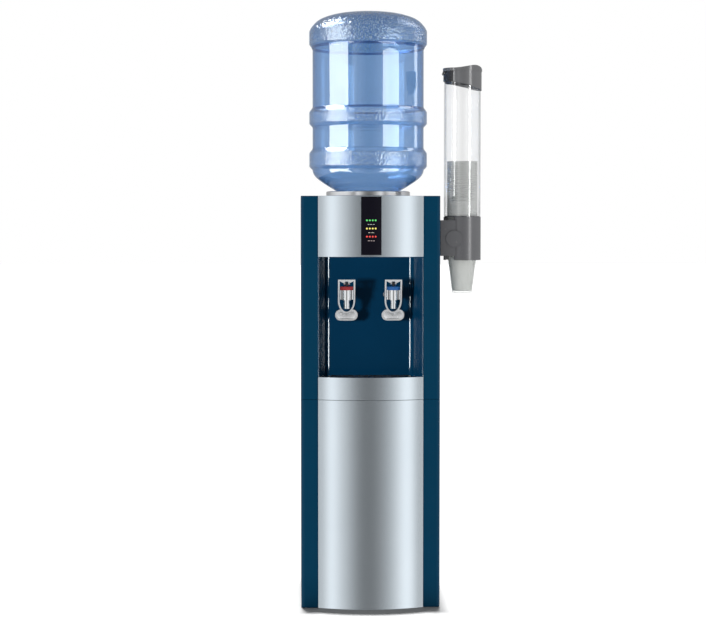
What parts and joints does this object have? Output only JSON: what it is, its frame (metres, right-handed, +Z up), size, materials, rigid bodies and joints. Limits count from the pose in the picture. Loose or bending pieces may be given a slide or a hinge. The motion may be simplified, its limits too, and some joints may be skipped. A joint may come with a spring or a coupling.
{
  "type": "water cooler",
  "caption": "Free-standing hot and cold water cooler with an inverted bottle, push-lever taps in a lit niche, a lift-out drip tray and a side cup dispenser.",
  "frame": {"origin": "centre of the cabinet's footprint, on the floor", "axes": "+Z up, the front with the taps faces -Y, +X to the right of a person who faces the front (the cup dispenser's side)"},
  "size_m": [0.4096, 0.35, 1.341],
  "materials": {
    "teal_plastic": "gloss",
    "teal_paint": "satin",
    "silver_plastic": "satin",
    "window_black": "gloss",
    "pcb_green": "satin",
    "led_green": "gloss",
    "led_yellow": "gloss",
    "led_red": "gloss",
    "dark_plastic": "matte",
    "grille_dark": "satin",
    "collar_silver": "satin",
    "white_plastic": "satin",
    "bottle_blue": "gloss",
    "cap_blue": "satin",
    "chrome": "polished",
    "red_plastic": "gloss",
    "blue_plastic": "gloss",
    "green_plastic": "gloss",
    "steel": "satin",
    "foam": "matte",
    "copper": "satin",
    "black_paint": "satin",
    "rubber": "matte",
    "grey_plastic": "satin",
    "tube_clear": "gloss",
    "cup_plastic": "satin",
    "hose": "satin"
  },
  "bodies": {
    "cabinet": {"base_plate": "dark_plastic", "side_panel_left": "teal_paint", "side_panel_right": "teal_paint", "rear_panel": "black_paint", "rear_screws": "steel", "top_cover": "teal_plastic", "front_frame_upper": "teal_plastic", "front_frame_lower": "teal_plastic", "lower_front_panel": "silver_plastic", "head_panel": "silver_plastic", "display_window": "window_black", "led_board": "pcb_green", "led_green": "led_green", "led_yellow": "led_yellow", "led_red": "led_red", "niche_liner": "teal_plastic", "tray_fascia": "silver_plastic", "tray_housing": "dark_plastic", "bottle_collar": "collar_silver", "bottle_receiver": "white_plastic", "feed_probe": "white_plastic", "tap_body_hot": "chrome", "tap_body_cold": "chrome", "tap_ring_hot": "red_plastic", "tap_ring_cold": "blue_plastic", "tap_nuts": "white_plastic", "cold_tank": "steel", "cold_insulation": "foam", "evaporator_coil": "copper", "hot_tank": "steel", "heater_and_thermostats": "copper", "refrigerant_lines": "copper", "water_hoses": "hose", "compressor": "black_paint", "compressor_grommets": "rubber", "condenser": "black_paint", "switch_bezel": "dark_plastic", "cable_gland": "dark_plastic", "drain_pipe": "white_plastic", "dispenser_bracket": "grey_plastic", "dispenser_collar": "grey_plastic", "dispenser_tube": "tube_clear", "dispenser_top_ring": "grey_plastic", "lid_pin": "steel", "cup_stack": "cup_plastic"},
    "bottle": {"bottle": "bottle_blue", "bottle_cap": "cap_blue"},
    "hot_stem": {"tap_plunger_hot": "chrome", "tap_spring_hot": "steel"},
    "cold_stem": {"tap_plunger_cold": "chrome", "tap_spring_cold": "steel"},
    "hot_lever": {"tap_lever_hot": "chrome"},
    "cold_lever": {"tap_lever_cold": "chrome"},
    "drip_tray": {"drip_tray": "dark_plastic"},
    "drip_grille": {"drip_grille": "grille_dark"},
    "dispenser_lid": {"dispenser_lid": "grey_plastic"},
    "next_cup": {"next_cup": "cup_plastic"},
    "rocker_hot": {"rocker_hot": "red_plastic"},
    "rocker_cold": {"rocker_cold": "green_plastic"},
    "drain_cap": {"drain_cap": "red_plastic"}
  },
  "joints": [
    {"name": "bottle_lift", "type": "slide", "parent": "cabinet", "child": "bottle", "axis": [0, 0, 1], "range_m": [0, 0.16]},
    {"name": "hot_stem_rise", "type": "slide", "parent": "cabinet", "child": "hot_stem", "axis": [0, 0, 1], "range_m": [0, 0.003], "deforming": ["tap_spring_hot"]},
    {"name": "hot_lever_push", "type": "hinge", "parent": "hot_stem", "child": "hot_lever", "pos_m": [-0.0525, -0.118, 0.7245], "axis": [1, 0, 0], "range_deg": [0, 10], "stiffness_Nm_per_rad": 0.6, "springref_deg": -17.19},
    {"name": "cold_stem_rise", "type": "slide", "parent": "cabinet", "child": "cold_stem", "axis": [0, 0, 1], "range_m": [0, 0.003], "deforming": ["tap_spring_cold"]},
    {"name": "cold_lever_push", "type": "hinge", "parent": "cold_stem", "child": "cold_lever", "pos_m": [0.0525, -0.118, 0.7245], "axis": [1, 0, 0], "range_deg": [0, 10], "stiffness_Nm_per_rad": 0.6, "springref_deg": -17.19},
    {"name": "drip_tray_lift", "type": "slide", "parent": "cabinet", "child": "drip_tray", "axis": [0, 0, 1], "range_m": [0, 0.08]},
    {"name": "drip_grille_lift", "type": "slide", "parent": "drip_tray", "child": "drip_grille", "axis": [0, 0, 1], "range_m": [0, 0.04]},
    {"name": "lid_open", "type": "hinge", "parent": "cabinet", "child": "dispenser_lid", "pos_m": [0.1677, -0.08, 1.1964], "axis": [0, -1, 0], "range_deg": [0, 95]},
    {"name": "next_cup_pull", "type": "slide", "parent": "cabinet", "child": "next_cup", "axis": [0, 0, -1], "range_m": [0, 0.1]},
    {"name": "rocker_hot_press", "type": "hinge", "parent": "cabinet", "child": "rocker_hot", "pos_m": [0.0765, 0.152, 0.3225], "axis": [1, 0, 0], "range_deg": [0, 14]},
    {"name": "rocker_cold_press", "type": "hinge", "parent": "cabinet", "child": "rocker_cold", "pos_m": [0.1055, 0.152, 0.3225], "axis": [1, 0, 0], "range_deg": [0, 14]},
    {"name": "drain_cap_turn", "type": "hinge", "parent": "cabinet", "child": "drain_cap", "pos_m": [-0.05, 0.16, 0.392], "axis": [0, 1, 0], "continuous": true}
  ],
  "couplings": [
    {"joint": "hot_stem_rise", "follows": "hot_lever_push", "m_per_rad": 0.01718},
    {"joint": "cold_stem_rise", "follows": "cold_lever_push", "m_per_rad": 0.01718}
  ]
}
